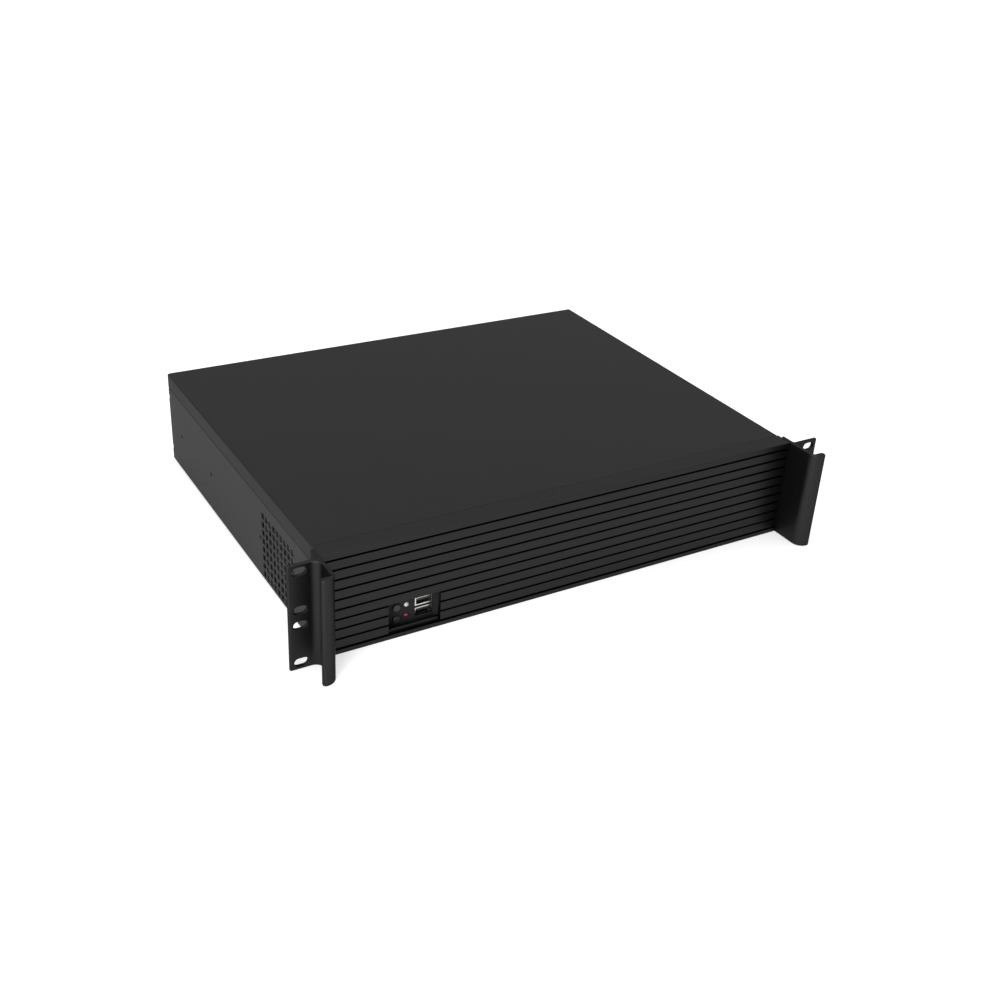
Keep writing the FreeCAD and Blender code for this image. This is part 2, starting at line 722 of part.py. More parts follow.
# ---------------------------------------------------------------- top cover
# A lid with turned-down edges at the sides and the back and a hem under the front edge.
cover_sides = folded_along_y([
    (mid - half, skirt_low),
    (mid - half, case_height - mid),
    (half - mid, case_height - mid),
    (half - mid, skirt_low),
], steel, cover_front, case_depth - steel - fold)
skirt_half = inner - fold - skirt_corner_gap
rear_skirt = folded_along_x([
    (case_depth - cover_skirt, case_height - mid),
    (case_depth - mid, case_height - mid),
    (case_depth - mid, skirt_low),
], steel, -skirt_half, skirt_half)
hem = box(-wall_half, wall_half, cover_front, cover_front + cover_hem, hem_under, cover_under)
cover_cuts = []
for x in thumb_places:
    cover_cuts.append(rod_y(x, rear_face, case_depth + past, thumb_height, thumb_thread + 2 * fit))
save("top_cover", [cut(fuse([cover_sides, rear_skirt, hem]), cover_cuts)])

thumbs = []
for x in thumb_places:
    thumbs.append(fuse([
        rod_y(x, case_depth, case_depth + thumb_head_long, thumb_height, thumb_head),
        rod_y(x, rear_inner - thumb_long, case_depth + past, thumb_height, thumb_thread),
    ]))
save("cover_thumbscrews", thumbs)

# ---------------------------------------------------------------- drive cage
# A folded bridge with its feet turned in under the drives.
cage_right = inner - cage_side_gap
cage_left = cage_right - drive_width - drive_play - 2 * steel
cage_top = floor_top + cage_height
cage_back = cage_front + cage_length
cage = folded_along_y([
    (cage_left + cage_foot, floor_top + mid),
    (cage_left + mid, floor_top + mid),
    (cage_left + mid, cage_top - mid),
    (cage_right - mid, cage_top - mid),
    (cage_right - mid, floor_top + mid),
    (cage_right - cage_foot, floor_top + mid),
], steel, cage_front, cage_back)
cage_cuts = []
for low in drive_low:
    for along in drive_holes:
        cage_cuts.append(rod_x(cage_left - past, cage_right + past, cage_front + along,
                               floor_top + low + drive_hole_up, drive_hole))
cage_screw_places = []
for x in (cage_left + cage_foot - cage_screw_in, cage_right - cage_foot + cage_screw_in):
    for y in (cage_front + cage_screw_end, cage_back - cage_screw_end):
        cage_screw_places.append((x, y))
for x, y in cage_screw_places:
    cage_cuts.append(rod_z(x, y, floor_top - past, floor_top + steel + past, screw_thread + fit))
window_step = (cage_length - 2 * cage_window_end - cage_window_wide) / (cage_windows - 1)
for index in range(cage_windows):
    y = cage_front + cage_window_end + index * window_step
    cage_cuts.append(box(cage_left + cage_window_side, cage_right - cage_window_side, y, y + cage_window_wide,
                         cage_top - steel - past, cage_top + past))
save("drive_cage", [cut(cage, cage_cuts)])
cage_screws = []
for x, y in cage_screw_places:
    head_low = floor_top + steel
    cage_screws.append(fuse([
        rod_z(x, y, head_low, head_low + screw_head_high, screw_head),
        rod_z(x, y, floor_top + fit / 4.0, head_low + joint_bite, screw_thread),
    ]))
save("cage_screws", cage_screws)

# ---------------------------------------------------------------- bracket for the power supply
# An angle on the floor that stops the power supply's front end.
bracket_front = cage_back + bracket_gap
bracket_left = psu_left + bracket_inset
bracket_right = psu_right - bracket_inset
bracket_top = floor_top + bracket_height
bracket = folded_along_x([
    (bracket_front, floor_top + mid),
    (bracket_front + bracket_foot, floor_top + mid),
    (bracket_front + bracket_foot, bracket_top),
], steel, bracket_left, bracket_right)
bracket_cuts = []
hole_height = bracket_top - bracket_hole_down
for x in (bracket_left + bracket_hole_in, bracket_right - bracket_hole_in):
    bracket_cuts.append(rod_y(x, bracket_front, bracket_front + 2 * bracket_foot, hole_height, rail_hole))
save("psu_bracket", [cut(bracket, bracket_cuts)])

# ---------------------------------------------------------------- standoffs for a main board
standoffs = []
corner_radius = standoff_across / 2.0 / cos(radians(30))
for row in board_rows:
    for column in board_columns:
        x = io_right - board_column_in - column
        y = rear_wall_in - board_gap_back - row
        if x < standoff_across - inner + fan_thick + screw_head_high:
            continue
        points = []
        for corner in range(7):
            angle = radians(60 * corner)
            points.append(V(x + corner_radius * cos(angle), y + corner_radius * sin(angle), floor_top))
        hexagon = Part.Face(Part.makePolygon(points)).extrude(V(0, 0, standoff_height))
        bore = rod_z(x, y, floor_top + standoff_floor, floor_top + standoff_height + past, standoff_bore)
        standoffs.append(hexagon.cut(bore))
save("board_standoffs", standoffs)

# ---------------------------------------------------------------- side fan
# A slim fan behind the left vent field. Its axis runs along X.
fan_y = vent_front + (vent_columns - 1) * vent_pitch / 2.0
fan_z = vent_low + (vent_rows - 1) * vent_pitch / 2.0
fan_out = -inner
fan_in = fan_out + fan_thick
base_out = fan_in - fan_base
sleeve_out = base_out - fan_sleeve
reach = fan_size / 2.0
frame = box(fan_out, fan_in, fan_y - reach, fan_y + reach, fan_z - reach, fan_z + reach)
long_edges = [edge for edge in frame.Edges if edge.BoundBox.XLength > fan_thick - 0.01]
frame = frame.makeFillet(fan_corner, long_edges)
frame = frame.cut(rod_x(fan_out - past, fan_in + past, fan_y, fan_z, fan_bore))
arm_long = fan_bore / 2.0 + joint_bite
frame = fuse([
    frame,
    box(base_out, fan_in, fan_y - arm_long, fan_y + arm_long, fan_z - fan_arm / 2.0, fan_z + fan_arm / 2.0),
    box(base_out, fan_in, fan_y - fan_arm / 2.0, fan_y + fan_arm / 2.0, fan_z - arm_long, fan_z + arm_long),
    rod_x(base_out, fan_in, fan_y, fan_z, fan_hub + fan_base_more),
    rod_x(sleeve_out, fan_in, fan_y, fan_z, fan_sleeve_across),
])
fan_screw_places = []
for side_y in (-0.5, 0.5):
    for side_z in (-0.5, 0.5):
        fan_screw_places.append((fan_y + side_y * fan_holes, fan_z + side_z * fan_holes))
frame_cuts = [rod_x(sleeve_out - past, fan_in - fan_base_floor, fan_y, fan_z, fan_shaft + 2 * fan_shaft_gap)]
for y, z in fan_screw_places:
    frame_cuts.append(rod_x(fan_out - past, fan_in + past, y, z, fan_hole))
save("fan_frame", [cut(frame, frame_cuts)])

hub_out = fan_out + fan_hub_inset
hub_in = sleeve_out - fan_hub_gap
blade_out = fan_bore / 2.0 - fan_tip_gap
rotor = [
    rod_x(hub_out, hub_in, fan_y, fan_z, fan_hub),
    rod_x(hub_in - joint_bite, fan_in - fan_base_floor - fan_hub_gap, fan_y, fan_z, fan_shaft),
]
blade_low = fan_hub / 2.0 - fan_blade_root
for index in range(fan_blades):
    blade = Part.makeBox(fan_blade_thick, fan_blade_chord, blade_out - blade_low,
                         V(-fan_blade_thick / 2.0, -fan_blade_chord / 2.0, blade_low))
    blade.rotate(V(0, 0, 0), V(0, 0, 1), fan_blade_turn)
    blade = blade.common(rod_x(-fan_thick, fan_thick, 0, 0, 2 * blade_out))
    blade.rotate(V(0, 0, 0), V(1, 0, 0), 360.0 * index / fan_blades)
    blade.translate(V((hub_out + hub_in) / 2.0, fan_y, fan_z))
    rotor.append(blade)
save("fan_rotor", [fuse(rotor)])

fan_screws = []
for y, z in fan_screw_places:
    fan_screws.append(fuse([
        rod_x(fan_in, fan_in + screw_head_high, y, z, screw_head),
        rod_x(fan_out + fit / 4.0, fan_in + joint_bite, y, z, screw_thread),
    ]))
save("fan_screws", fan_screws)
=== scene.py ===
import math
import random

import bmesh
import bpy
from mathutils import Matrix, Vector


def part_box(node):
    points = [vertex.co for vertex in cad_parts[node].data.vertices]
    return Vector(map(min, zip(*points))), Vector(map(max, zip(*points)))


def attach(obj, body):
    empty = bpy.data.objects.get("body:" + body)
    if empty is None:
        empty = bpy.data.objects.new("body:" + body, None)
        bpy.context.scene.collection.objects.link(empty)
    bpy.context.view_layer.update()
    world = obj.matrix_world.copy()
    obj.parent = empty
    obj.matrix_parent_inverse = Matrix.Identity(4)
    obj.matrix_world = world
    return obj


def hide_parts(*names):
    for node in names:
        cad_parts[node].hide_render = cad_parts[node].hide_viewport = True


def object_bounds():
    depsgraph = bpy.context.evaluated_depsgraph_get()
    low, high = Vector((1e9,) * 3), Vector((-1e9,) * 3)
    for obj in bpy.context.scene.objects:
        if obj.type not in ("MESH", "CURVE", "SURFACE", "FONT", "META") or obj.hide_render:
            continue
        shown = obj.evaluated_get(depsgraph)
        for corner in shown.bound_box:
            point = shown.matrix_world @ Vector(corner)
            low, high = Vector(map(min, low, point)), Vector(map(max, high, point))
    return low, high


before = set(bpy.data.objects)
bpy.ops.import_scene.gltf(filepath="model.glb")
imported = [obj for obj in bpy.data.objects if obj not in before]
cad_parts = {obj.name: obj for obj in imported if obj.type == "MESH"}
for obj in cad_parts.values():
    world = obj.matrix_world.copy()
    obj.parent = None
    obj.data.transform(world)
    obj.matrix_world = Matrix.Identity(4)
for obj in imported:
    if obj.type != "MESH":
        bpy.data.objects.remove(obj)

cad_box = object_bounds()
MM = 0.001

# ---------------------------------------------------------------- chassis tray
# The floor and both sides of the case are one sheet of 1 mm cold-rolled steel, punched and folded.
# After folding it is sprayed with black polyester powder and baked, which coats its cut edges too.


def linear(colour):
    """Linear RGBA of an sRGB hex colour."""
    channels = [int(colour[place:place + 2], 16) / 255 for place in (1, 3, 5)]
    return [c / 12.92 if c <= 0.04045 else ((c + 0.055) / 1.055) ** 2.4 for c in channels] + [1]


def add(tree, kind, inputs, **settings):
    """Adds a node with its settings. Each input takes a value, or a socket to link to."""
    made = tree.nodes.new(kind)
    for name, value in settings.items():
        setattr(made, name, value)
    for socket, value in inputs.items():
        if isinstance(value, bpy.types.NodeSocket):
            tree.links.new(value, made.inputs[socket])
        else:
            made.inputs[socket].default_value = value
    return made


def finish_of(name, inputs):
    """A material with one shader. Its inputs are the values or sockets that inputs(tree) gives."""
    material = bpy.data.materials.new(name)
    material.use_nodes = True
    tree = material.node_tree
    tree.nodes.clear()
    shader = add(tree, "ShaderNodeBsdfPrincipled", inputs(tree))
    add(tree, "ShaderNodeOutputMaterial", {"Surface": shader.outputs["BSDF"]})
    return material


def dress(material, *nodes):
    """Puts the material on CAD nodes."""
    for node in nodes:
        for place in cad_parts[node].material_slots:
            place.material = material


def powder_coat(name, colour, speckle):
    """Black polyester powder, baked: a low sheen over a fine dimpled skin with paler grains."""
    dimple = 0.9 * MM           # across one dimple; the real ones are about half that
    dimple_deep = 0.05 * MM
    cloud = 45 * MM             # slow change in how thickly the powder lies
    fold = 0.2 * MM             # how round the coat leaves a sheet's edges

    def inputs(tree):
        place = add(tree, "ShaderNodeTexCoord", {}).outputs["Object"]
        dimples = add(tree, "ShaderNodeTexNoise",
                      {"Vector": place, "Scale": 1 / dimple, "Detail": 3.0})
        clouds = add(tree, "ShaderNodeTexNoise",
                     {"Vector": place, "Scale": 1 / cloud, "Detail": 2.0})
        tone = add(tree, "ShaderNodeMath", {0: dimples.outputs["Fac"], 1: clouds.outputs["Fac"]})
        shade = add(tree, "ShaderNodeMapRange",
                    {"Value": tone.outputs[0], "From Min": 0.7, "From Max": 1.3})
        paint = add(tree, "ShaderNodeMix",
                    {0: shade.outputs[0], 6: linear(colour), 7: linear(speckle)}, data_type="RGBA")
        sheen = add(tree, "ShaderNodeMapRange",
                    {"Value": clouds.outputs["Fac"], "To Min": 0.60, "To Max": 0.72})
        edge = add(tree, "ShaderNodeBevel", {"Radius": fold}, samples=4)
        skin = add(tree, "ShaderNodeBump", {"Height": dimples.outputs["Fac"], "Strength": 0.35,
                                            "Distance": dimple_deep, "Normal": edge.outputs[0]})
        return {"Base Color": paint.outputs[2], "Roughness": sheen.outputs[0],
                "Specular IOR Level": 0.12, "Normal": skin.outputs[0]}

    return finish_of(name, inputs)


body_coat = powder_coat("powder coat on steel", "#212122", "#2b2b2c")
dress(body_coat, "chassis_tray")

# ---------------------------------------------------------------- front wall
# A second folded sheet closes the tray behind the front panel and carries the panel's screws.
# It is coated with the tray in one batch, so it has the same finish.
dress(body_coat, "front_wall")

# ---------------------------------------------------------------- front panel
# One length of extruded 6063 aluminium with ten grooves, cut to 430 mm and milled for the window.
# It is etched matt and anodised black, and screws in its rear channels hold it to the front wall.


def black_anodising(name, colour, pale, along, oxide):
    """Black anodised aluminium: dark metal under a sealed oxide, with faint die lines and painted
    shade in its grooves.
    """
    line = 0.8 * MM             # between die lines; real ones are finer
    run = 160 * MM              # length over which a die line fades
    etch = 0.5 * MM             # grain of the matt etch; the real one is finer
    etch_deep = 0.02 * MM
    painted_shade_reach = 4 * MM             # how near a facing wall has to be for painted shade to darken a groove
    corner = 0.5 * MM           # how round the etch leaves the corners

    def inputs(tree):
        place = add(tree, "ShaderNodeTexCoord", {}).outputs["Object"]
        stretch = [1 / run if axis == along else 1 / line for axis in range(3)]
        drawn = add(tree, "ShaderNodeMapping", {"Vector": place, "Scale": stretch})
        lines = add(tree, "ShaderNodeTexNoise",
                    {"Vector": drawn.outputs[0], "Scale": 1.0, "Detail": 2.0})
        grain = add(tree, "ShaderNodeTexNoise", {"Vector": place, "Scale": 1 / etch, "Detail": 2.0})
        dye = add(tree, "ShaderNodeMix",
                  {0: lines.outputs["Fac"], 6: linear(colour), 7: linear(pale)}, data_type="RGBA")
        # Painted shade: where walls stand near, as inside the grooves, the colour is mixed towards
        # near black #030303.
        light = add(tree, "ShaderNodeAmbientOcclusion", {"Distance": painted_shade_reach},
                    samples=4, only_local=True)
        unshaded_share = add(tree, "ShaderNodeMapRange", {"Value": light.outputs["AO"], "From Min": 0.6})
        groove_shade_paint = add(tree, "ShaderNodeMix",
                    {0: unshaded_share.outputs[0], 6: linear("#030303"), 7: dye.outputs[2]},
                    data_type="RGBA")
        matt = add(tree, "ShaderNodeMapRange",
                   {"Value": grain.outputs["Fac"], "To Min": 0.40, "To Max": 0.54})
        height = add(tree, "ShaderNodeMath", {0: lines.outputs["Fac"], 1: grain.outputs["Fac"]})
        edge = add(tree, "ShaderNodeBevel", {"Radius": corner}, samples=4)
        skin = add(tree, "ShaderNodeBump", {"Height": height.outputs[0], "Strength": 0.25,
                                            "Distance": etch_deep, "Normal": edge.outputs[0]})
        return {"Base Color": groove_shade_paint.outputs[2], "Metallic": 1.0, "Roughness": matt.outputs[0],
                "Specular Tint": linear("#9a9a9a"), "Coat Weight": oxide, "Coat Roughness": 0.32,
                "Normal": skin.outputs[0]}

    return finish_of(name, inputs)


panel_anodising = black_anodising("black anodised aluminium panel", "#1d1d1d", "#262626", 0, 0.24)
dress(panel_anodising, "front_panel")

# ---------------------------------------------------------------- ears with handles
# Each ear is one upright extrusion, cut to two rack units: a leg, a flange and a turned-out grip.
# The flange's slots are milled after cutting, and the same black anodising covers everything.
ear_anodising = black_anodising("black anodised aluminium ear", "#252525", "#2d2d2d", 2, 0.1)
dress(ear_anodising, "left_ear", "right_ear")

# ---------------------------------------------------------------- screws of the ears and the panel
# Cold-headed M3 pan heads with a cross recess, driven from inside the case.
# Those in the ears are blackened, and those in the panel are zinc plated.
head_across = 5.5 * MM
head_high = 1.8 * MM
thread_across = 3.0 * MM
turns = random.Random(7)        # how far each screw happens to be turned


def turned(profile, steps):
    """Mesh form turned about Z from pairs of radius and height that start and end on the axis."""
    form = bmesh.new()
    points = [form.verts.new((radius, 0, height)) for radius, height in profile]
    lines = [form.edges.new(pair) for pair in zip(points, points[1:])]
    bmesh.ops.spin(form, geom=points + lines, cent=(0, 0, 0), axis=(0, 0, 1),
                   angle=2 * math.pi, steps=steps)
    bmesh.ops.remove_doubles(form, verts=form.verts, dist=0.001 * MM)
    bmesh.ops.recalc_face_normals(form, faces=form.faces)
    return form


def as_mesh(form, name):
    """Mesh data from a form, with round faces smooth and edges over 35 degrees sharp."""
    mesh = bpy.data.meshes.new(name)
    form.to_mesh(mesh)
    form.free()
    mesh.polygons.foreach_set("use_smooth", [True] * len(mesh.polygons))
    mesh.set_sharp_from_angle(angle=math.radians(35))
    return mesh


def with_cross(mesh, top, across, deep):
    """The mesh with a cross recess cut into its top, as a cross-head driver needs."""
    wing = across * 0.2         # thickness of one wing of the cross
    foot = 0.45                 # share of its mouth that the recess narrows to
    over = deep * 0.2           # how far the cutter stands above the head
    head = bpy.data.objects.new("head", mesh)
    bpy.context.scene.collection.objects.link(head)
    for quarter in range(2):
        form = bmesh.new()
        bmesh.ops.create_cube(form, size=1.0)
        for point in form.verts:
            height, taper = (top + over, 1.0) if point.co.z > 0 else (top - deep, foot)
            flat = Vector((point.co.x * across * taper, point.co.y * wing * (1 + taper) / 2, 0))
            point.co = Matrix.Rotation(quarter * math.pi / 2, 3, "Z") @ flat
            point.co.z = height
        cutter = bpy.data.objects.new("cutter", as_mesh(form, "cutter"))
        bpy.context.scene.collection.objects.link(cutter)
        change = head.modifiers.new("recess", "BOOLEAN")
        change.object = cutter
        change.solver = "EXACT"
        cut = head.evaluated_get(bpy.context.evaluated_depsgraph_get())
        whole = bpy.data.meshes.new_from_object(cut)
        head.modifiers.clear()
        head.data = whole
        bpy.data.objects.remove(cutter)
    bpy.data.objects.remove(head)
    return whole


def pan_head(long):
    """A pan-head machine screw with its seat at height 0 and its point at -long."""
    rim = head_across / 2
    core = thread_across / 2
    crown = [(0.97, 0), (1, 0.12), (0.97, 0.5), (0.88, 0.78), (0.70, 0.93), (0.45, 0.99), (0, 1)]
    profile = [(0, -long), (core * 0.7, -long), (core, -long + core * 0.4), (core, 0)]
    profile += [(rim * out, head_high * up) for out, up in crown]
    whole = as_mesh(turned(profile, 36), "pan head")
    return with_cross(whole, head_high, across=head_across * 0.56, deep=head_high * 0.62)


def set_of(name, mesh, seats, way, material, body, replaced):
    """One piece made of a screw at each seat, its head pointing the given way."""
    form = bmesh.new()
    for seat in seats:
        first = len(form.verts)
        form.from_mesh(mesh)
        form.verts.ensure_lookup_table()
        aim = Vector(way(seat) if callable(way) else way).to_track_quat("Z", "Y")
        turn = Matrix.Rotation(turns.uniform(0, math.pi), 4, "Z")
        placed = Matrix.Translation(seat) @ aim.to_matrix().to_4x4() @ turn
        bmesh.ops.transform(form, matrix=placed, verts=form.verts[first:])
    piece = bpy.data.objects.new(name, as_mesh(form, name))
    bpy.context.scene.collection.objects.link(piece)
    piece.data.materials.append(material)
    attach(piece, body)
    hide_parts(replaced)


def plated(name, colour, pale, low, high):
    """Plated or oxidised steel: a thin metal skin whose tone and gloss are slightly cloudy."""
    cloud = 1.2 * MM            # across one cloudy spot

    def inputs(tree):
        place = add(tree, "ShaderNodeTexCoord", {}).outputs["Object"]
        clouds = add(tree, "ShaderNodeTexNoise",
                     {"Vector": place, "Scale": 1 / cloud, "Detail": 4.0})
        tint = add(tree, "ShaderNodeMix",
                   {0: clouds.outputs["Fac"], 6: linear(colour), 7: linear(pale)}, data_type="RGBA")
        gloss = add(tree, "ShaderNodeMapRange",
                    {"Value": clouds.outputs["Fac"], "To Min": low, "To Max": high})
        return {"Base Color": tint.outputs[2], "Metallic": 1.0, "Roughness": gloss.outputs[0]}

    return finish_of(name, inputs)


black_oxide = plated("black oxide on steel", "#1d1d1e", "#2c2c2d", 0.32, 0.5)
zinc = plated("bright zinc plating", "#b9bbbd", "#cfd1d3", 0.22, 0.36)
ear_low, ear_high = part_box("ear_screws")
sheet = 1.0 * MM                # thickness of the side walls
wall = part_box("chassis_tray")[1].x - sheet
ear_seats = []
for side in (-1, 1):
    for height in (ear_low.z + head_across / 2, ear_high.z - head_across / 2):
        ear_seats.append(Vector((side * wall, (ear_low.y + ear_high.y) / 2, height)))
ear_screw = pan_head(ear_high.x - wall)
set_of("ear_screw_heads", ear_screw, ear_seats, lambda seat: (-seat.x, 0, 0), black_oxide, "case",
       "ear_screws")

panel_low, panel_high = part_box("panel_screws")
panel_columns = 4
panel_span = panel_high.x - panel_low.x - head_across
panel_seats = []
for column in range(panel_columns):
    across = panel_low.x + head_across / 2 + panel_span * column / (panel_columns - 1)
    for height in (panel_low.z + head_across / 2, panel_high.z - head_across / 2):
        panel_seats.append(Vector((across, panel_high.y - head_high, height)))
panel_screw = pan_head(panel_high.y - head_high - panel_low.y)
set_of("panel_screw_heads", panel_screw, panel_seats, (0, 1, 0), zinc, "case", "panel_screws")

# ---------------------------------------------------------------- recessed plate in the window
# A small folded steel pan, coated like the body, that closes the window behind the panel.
# Its face is punched for the buttons, the lights and both sockets.
plate_coat = powder_coat("powder coat on small plate", "#1c1c1d", "#262627")
dress(plate_coat, "io_plate")

# ---------------------------------------------------------------- small circuit board and its posts
# Glass-fibre laminate under green solder mask, on four turned brass posts behind the front wall.
# The mask is glossy and lets the weave of the glass show as a faint grid.


def mask_inputs(tree):
    """Solder mask, sprayed and baked: glossy green over glass threads that stand out slightly."""
    thread = 1.2 * MM           # between glass threads; real ones are about half that apart
    thread_high = 0.02 * MM
    wave = 2 * math.pi / 20     # length of one wave of the texture at a scale of 1
    place = add(tree, "ShaderNodeTexCoord", {}).outputs["Object"]
    threads = [add(tree, "ShaderNodeTexWave", {"Vector": place, "Scale": wave / thread},
                   bands_direction=way) for way in ("X", "Z")]
    cloth = add(tree, "ShaderNodeMath",
                {0: threads[0].outputs["Fac"], 1: threads[1].outputs["Fac"]}, operation="MULTIPLY")
    mask = add(tree, "ShaderNodeMix",
               {0: cloth.outputs[0], 6: linear("#124a26"), 7: linear("#1a5c31")}, data_type="RGBA")
    skin = add(tree, "ShaderNodeBump",
               {"Height": cloth.outputs[0], "Strength": 0.2, "Distance": thread_high})
    return {"Base Color": mask.outputs[2], "Roughness": 0.28, "IOR": 1.52,
            "Normal": skin.outputs[0]}


dress(finish_of("solder mask on glass fibre", mask_inputs), "io_board")


def brass_inputs(tree):
    """Free-cutting brass, turned: warm yellow metal, a little dulled, with fine tool marks."""
    mark = 0.3 * MM             # across one tool mark
    place = add(tree, "ShaderNodeTexCoord", {}).outputs["Object"]
    marks = add(tree, "ShaderNodeTexNoise", {"Vector": place, "Scale": 1 / mark, "Detail": 2.0})
    tint = add(tree, "ShaderNodeMix",
               {0: marks.outputs["Fac"], 6: linear("#b3934f"), 7: linear("#cdb06c")},
               data_type="RGBA")
    dull = add(tree, "ShaderNodeMapRange",
               {"Value": marks.outputs["Fac"], "To Min": 0.24, "To Max": 0.4})
    return {"Base Color": tint.outputs[2], "Metallic": 1.0, "Roughness": dull.outputs[0]}


brass = finish_of("turned brass", brass_inputs)
dress(brass, "io_board_posts")

# ---------------------------------------------------------------- switches and buttons
# The power and reset buttons are moulded in black ABS and stand a little proud of the plate.
# Each runs back into a small key switch, moulded in black glass-filled nylon, on the board.


def moulded(name, colour, pale, grain, low, high, ior):
    """Moulded plastic: an even colour with a fine spark-eroded grain that breaks up its sheen."""
    grain_deep = 0.02 * MM

    def inputs(tree):
        place = add(tree, "ShaderNodeTexCoord", {}).outputs["Object"]
        spark = add(tree, "ShaderNodeTexNoise",
                    {"Vector": place, "Scale": 1 / grain, "Detail": 3.0})
        tint = add(tree, "ShaderNodeMix",
                   {0: spark.outputs["Fac"], 6: linear(colour), 7: linear(pale)}, data_type="RGBA")
        sheen = add(tree, "ShaderNodeMapRange",
                    {"Value": spark.outputs["Fac"], "To Min": low, "To Max": high})
        skin = add(tree, "ShaderNodeBump", {"Height": spark.outputs["Fac"], "Strength": 0.3,
                                            "Distance": grain_deep})
        return {"Base Color": tint.outputs[2], "Roughness": sheen.outputs[0], "IOR": ior,
                "Normal": skin.outputs[0]}

    return finish_of(name, inputs)


dress(moulded("moulded ABS, black", "#131314", "#1a1a1b", 0.4 * MM, 0.45, 0.6, 1.53),
      "power_button", "reset_button")
dress(moulded("moulded nylon, black", "#161617", "#1f1f20", 0.5 * MM, 0.45, 0.6, 1.53),
      "power_switch", "reset_switch")

# ---------------------------------------------------------------- lights
# Two 4 mm domed lenses of acrylic, clear for power and red for the drives, over lamps on the board.
# White nylon spacers hold them up to the plate.


def lens(name, colour, pale, clear):
    """Tinted acrylic, moulded: glossy outside, a little cloudy inside, with paler spots."""
    cloud = 1.5 * MM            # across one cloudy spot

    def inputs(tree):
        place = add(tree, "ShaderNodeTexCoord", {}).outputs["Object"]
        clouds = add(tree, "ShaderNodeTexNoise",
                     {"Vector": place, "Scale": 1 / cloud, "Detail": 1.0})
        tint = add(tree, "ShaderNodeMix",
                   {0: clouds.outputs["Fac"], 6: linear(colour), 7: linear(pale)}, data_type="RGBA")
        return {"Base Color": tint.outputs[2], "Roughness": 0.08, "IOR": 1.49,
                "Transmission Weight": clear}

    return finish_of(name, inputs)


dress(lens("clear acrylic lens", "#c9cccd", "#e6e8e8", 0.35), "power_light")
dress(lens("red acrylic lens", "#5e0d1c", "#8e2136", 0.25), "drive_light")
dress(moulded("natural nylon", "#cfcdc4", "#dcdad2", 0.5 * MM, 0.4, 0.55, 1.53), "light_spacers")

# ---------------------------------------------------------------- sockets
# Each socket is a pressed steel shell, nickel plated, round a black moulded tongue.
# Four gold plated contacts lie along the top of the tongue.
nickel = plated("nickel plating", "#c9c8c4", "#dddcd8", 0.16, 0.28)
dress(nickel, "usb_shell_upper", "usb_shell_lower")
dress(moulded("moulded insulator, black", "#1b1b1c", "#262627", 0.4 * MM, 0.4, 0.5, 1.57),
      "usb_tongue_upper", "usb_tongue_lower")
gold = plated("gold flash on contacts", "#c9a95e", "#dcc27c", 0.2, 0.3)
contact_count = 4
contact_wide = 1.2 * MM
contact_pitch = 2.4 * MM
contact_high = 0.25 * MM
contact_front = 0.6 * MM        # from the tongue's front end
contact_back = 0.9 * MM         # from its back end
contact_round = 0.08 * MM
for row in ("upper", "lower"):
    low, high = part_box("usb_tongue_" + row)
    long = high.y - low.y - contact_front - contact_back
    form = bmesh.new()
    for number in range(contact_count):
        centre = (low.x + high.x) / 2 + (number - (contact_count - 1) / 2) * contact_pitch
        first = len(form.verts)
        bmesh.ops.create_cube(form, size=1.0)
        form.verts.ensure_lookup_table()
        middle = Vector((centre, low.y + contact_front + long / 2, high.z + contact_high / 2))
        size = Matrix.Diagonal((contact_wide, long, contact_high, 1))
        placed = Matrix.Translation(middle) @ size
        bmesh.ops.transform(form, matrix=placed, verts=form.verts[first:])
    bmesh.ops.bevel(form, geom=form.edges[:], offset=contact_round, segments=2, affect="EDGES")
    piece = bpy.data.objects.new("usb_contacts_" + row, as_mesh(form, "usb contacts"))
    bpy.context.scene.collection.objects.link(piece)
    piece.data.materials.append(gold)
    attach(piece, "case")

# ---------------------------------------------------------------- rear wall and slot covers
# The rear wall is folded from the same sheet as the tray and coated with it.
# Its slots are closed by bare galvanised plates, each held by one zinc plated screw.
dress(body_coat, "rear_panel")


def galvanised_inputs(tree):
    """Hot-dip galvanised steel: pale grey zinc in faint crystals, each with a tone and gloss."""
    spangle = 7 * MM            # across one crystal
    ripple = 1.2 * MM           # slight unevenness of the zinc
    ripple_deep = 0.02 * MM
    burr = 0.2 * MM             # how round the zinc leaves a cut edge
    place = add(tree, "ShaderNodeTexCoord", {}).outputs["Object"]
    crystals = add(tree, "ShaderNodeTexVoronoi", {"Vector": place, "Scale": 1 / spangle})
    grey = add(tree, "ShaderNodeRGBToBW", {"Color": crystals.outputs["Color"]})
    ripples = add(tree, "ShaderNodeTexNoise", {"Vector": place, "Scale": 1 / ripple, "Detail": 3.0})
    tint = add(tree, "ShaderNodeMix",
               {0: grey.outputs[0], 6: linear("#a3a6a8"), 7: linear("#b7babc")}, data_type="RGBA")
    gloss = add(tree, "ShaderNodeMapRange",
                {"Value": grey.outputs[0], "To Min": 0.34, "To Max": 0.5})
    edge = add(tree, "ShaderNodeBevel", {"Radius": burr}, samples=4)
    skin = add(tree, "ShaderNodeBump", {"Height": ripples.outputs["Fac"], "Strength": 0.15,
                                        "Distance": ripple_deep, "Normal": edge.outputs[0]})
    return {"Base Color": tint.outputs[2], "Metallic": 1.0, "Roughness": gloss.outputs[0],
            "Normal": skin.outputs[0]}


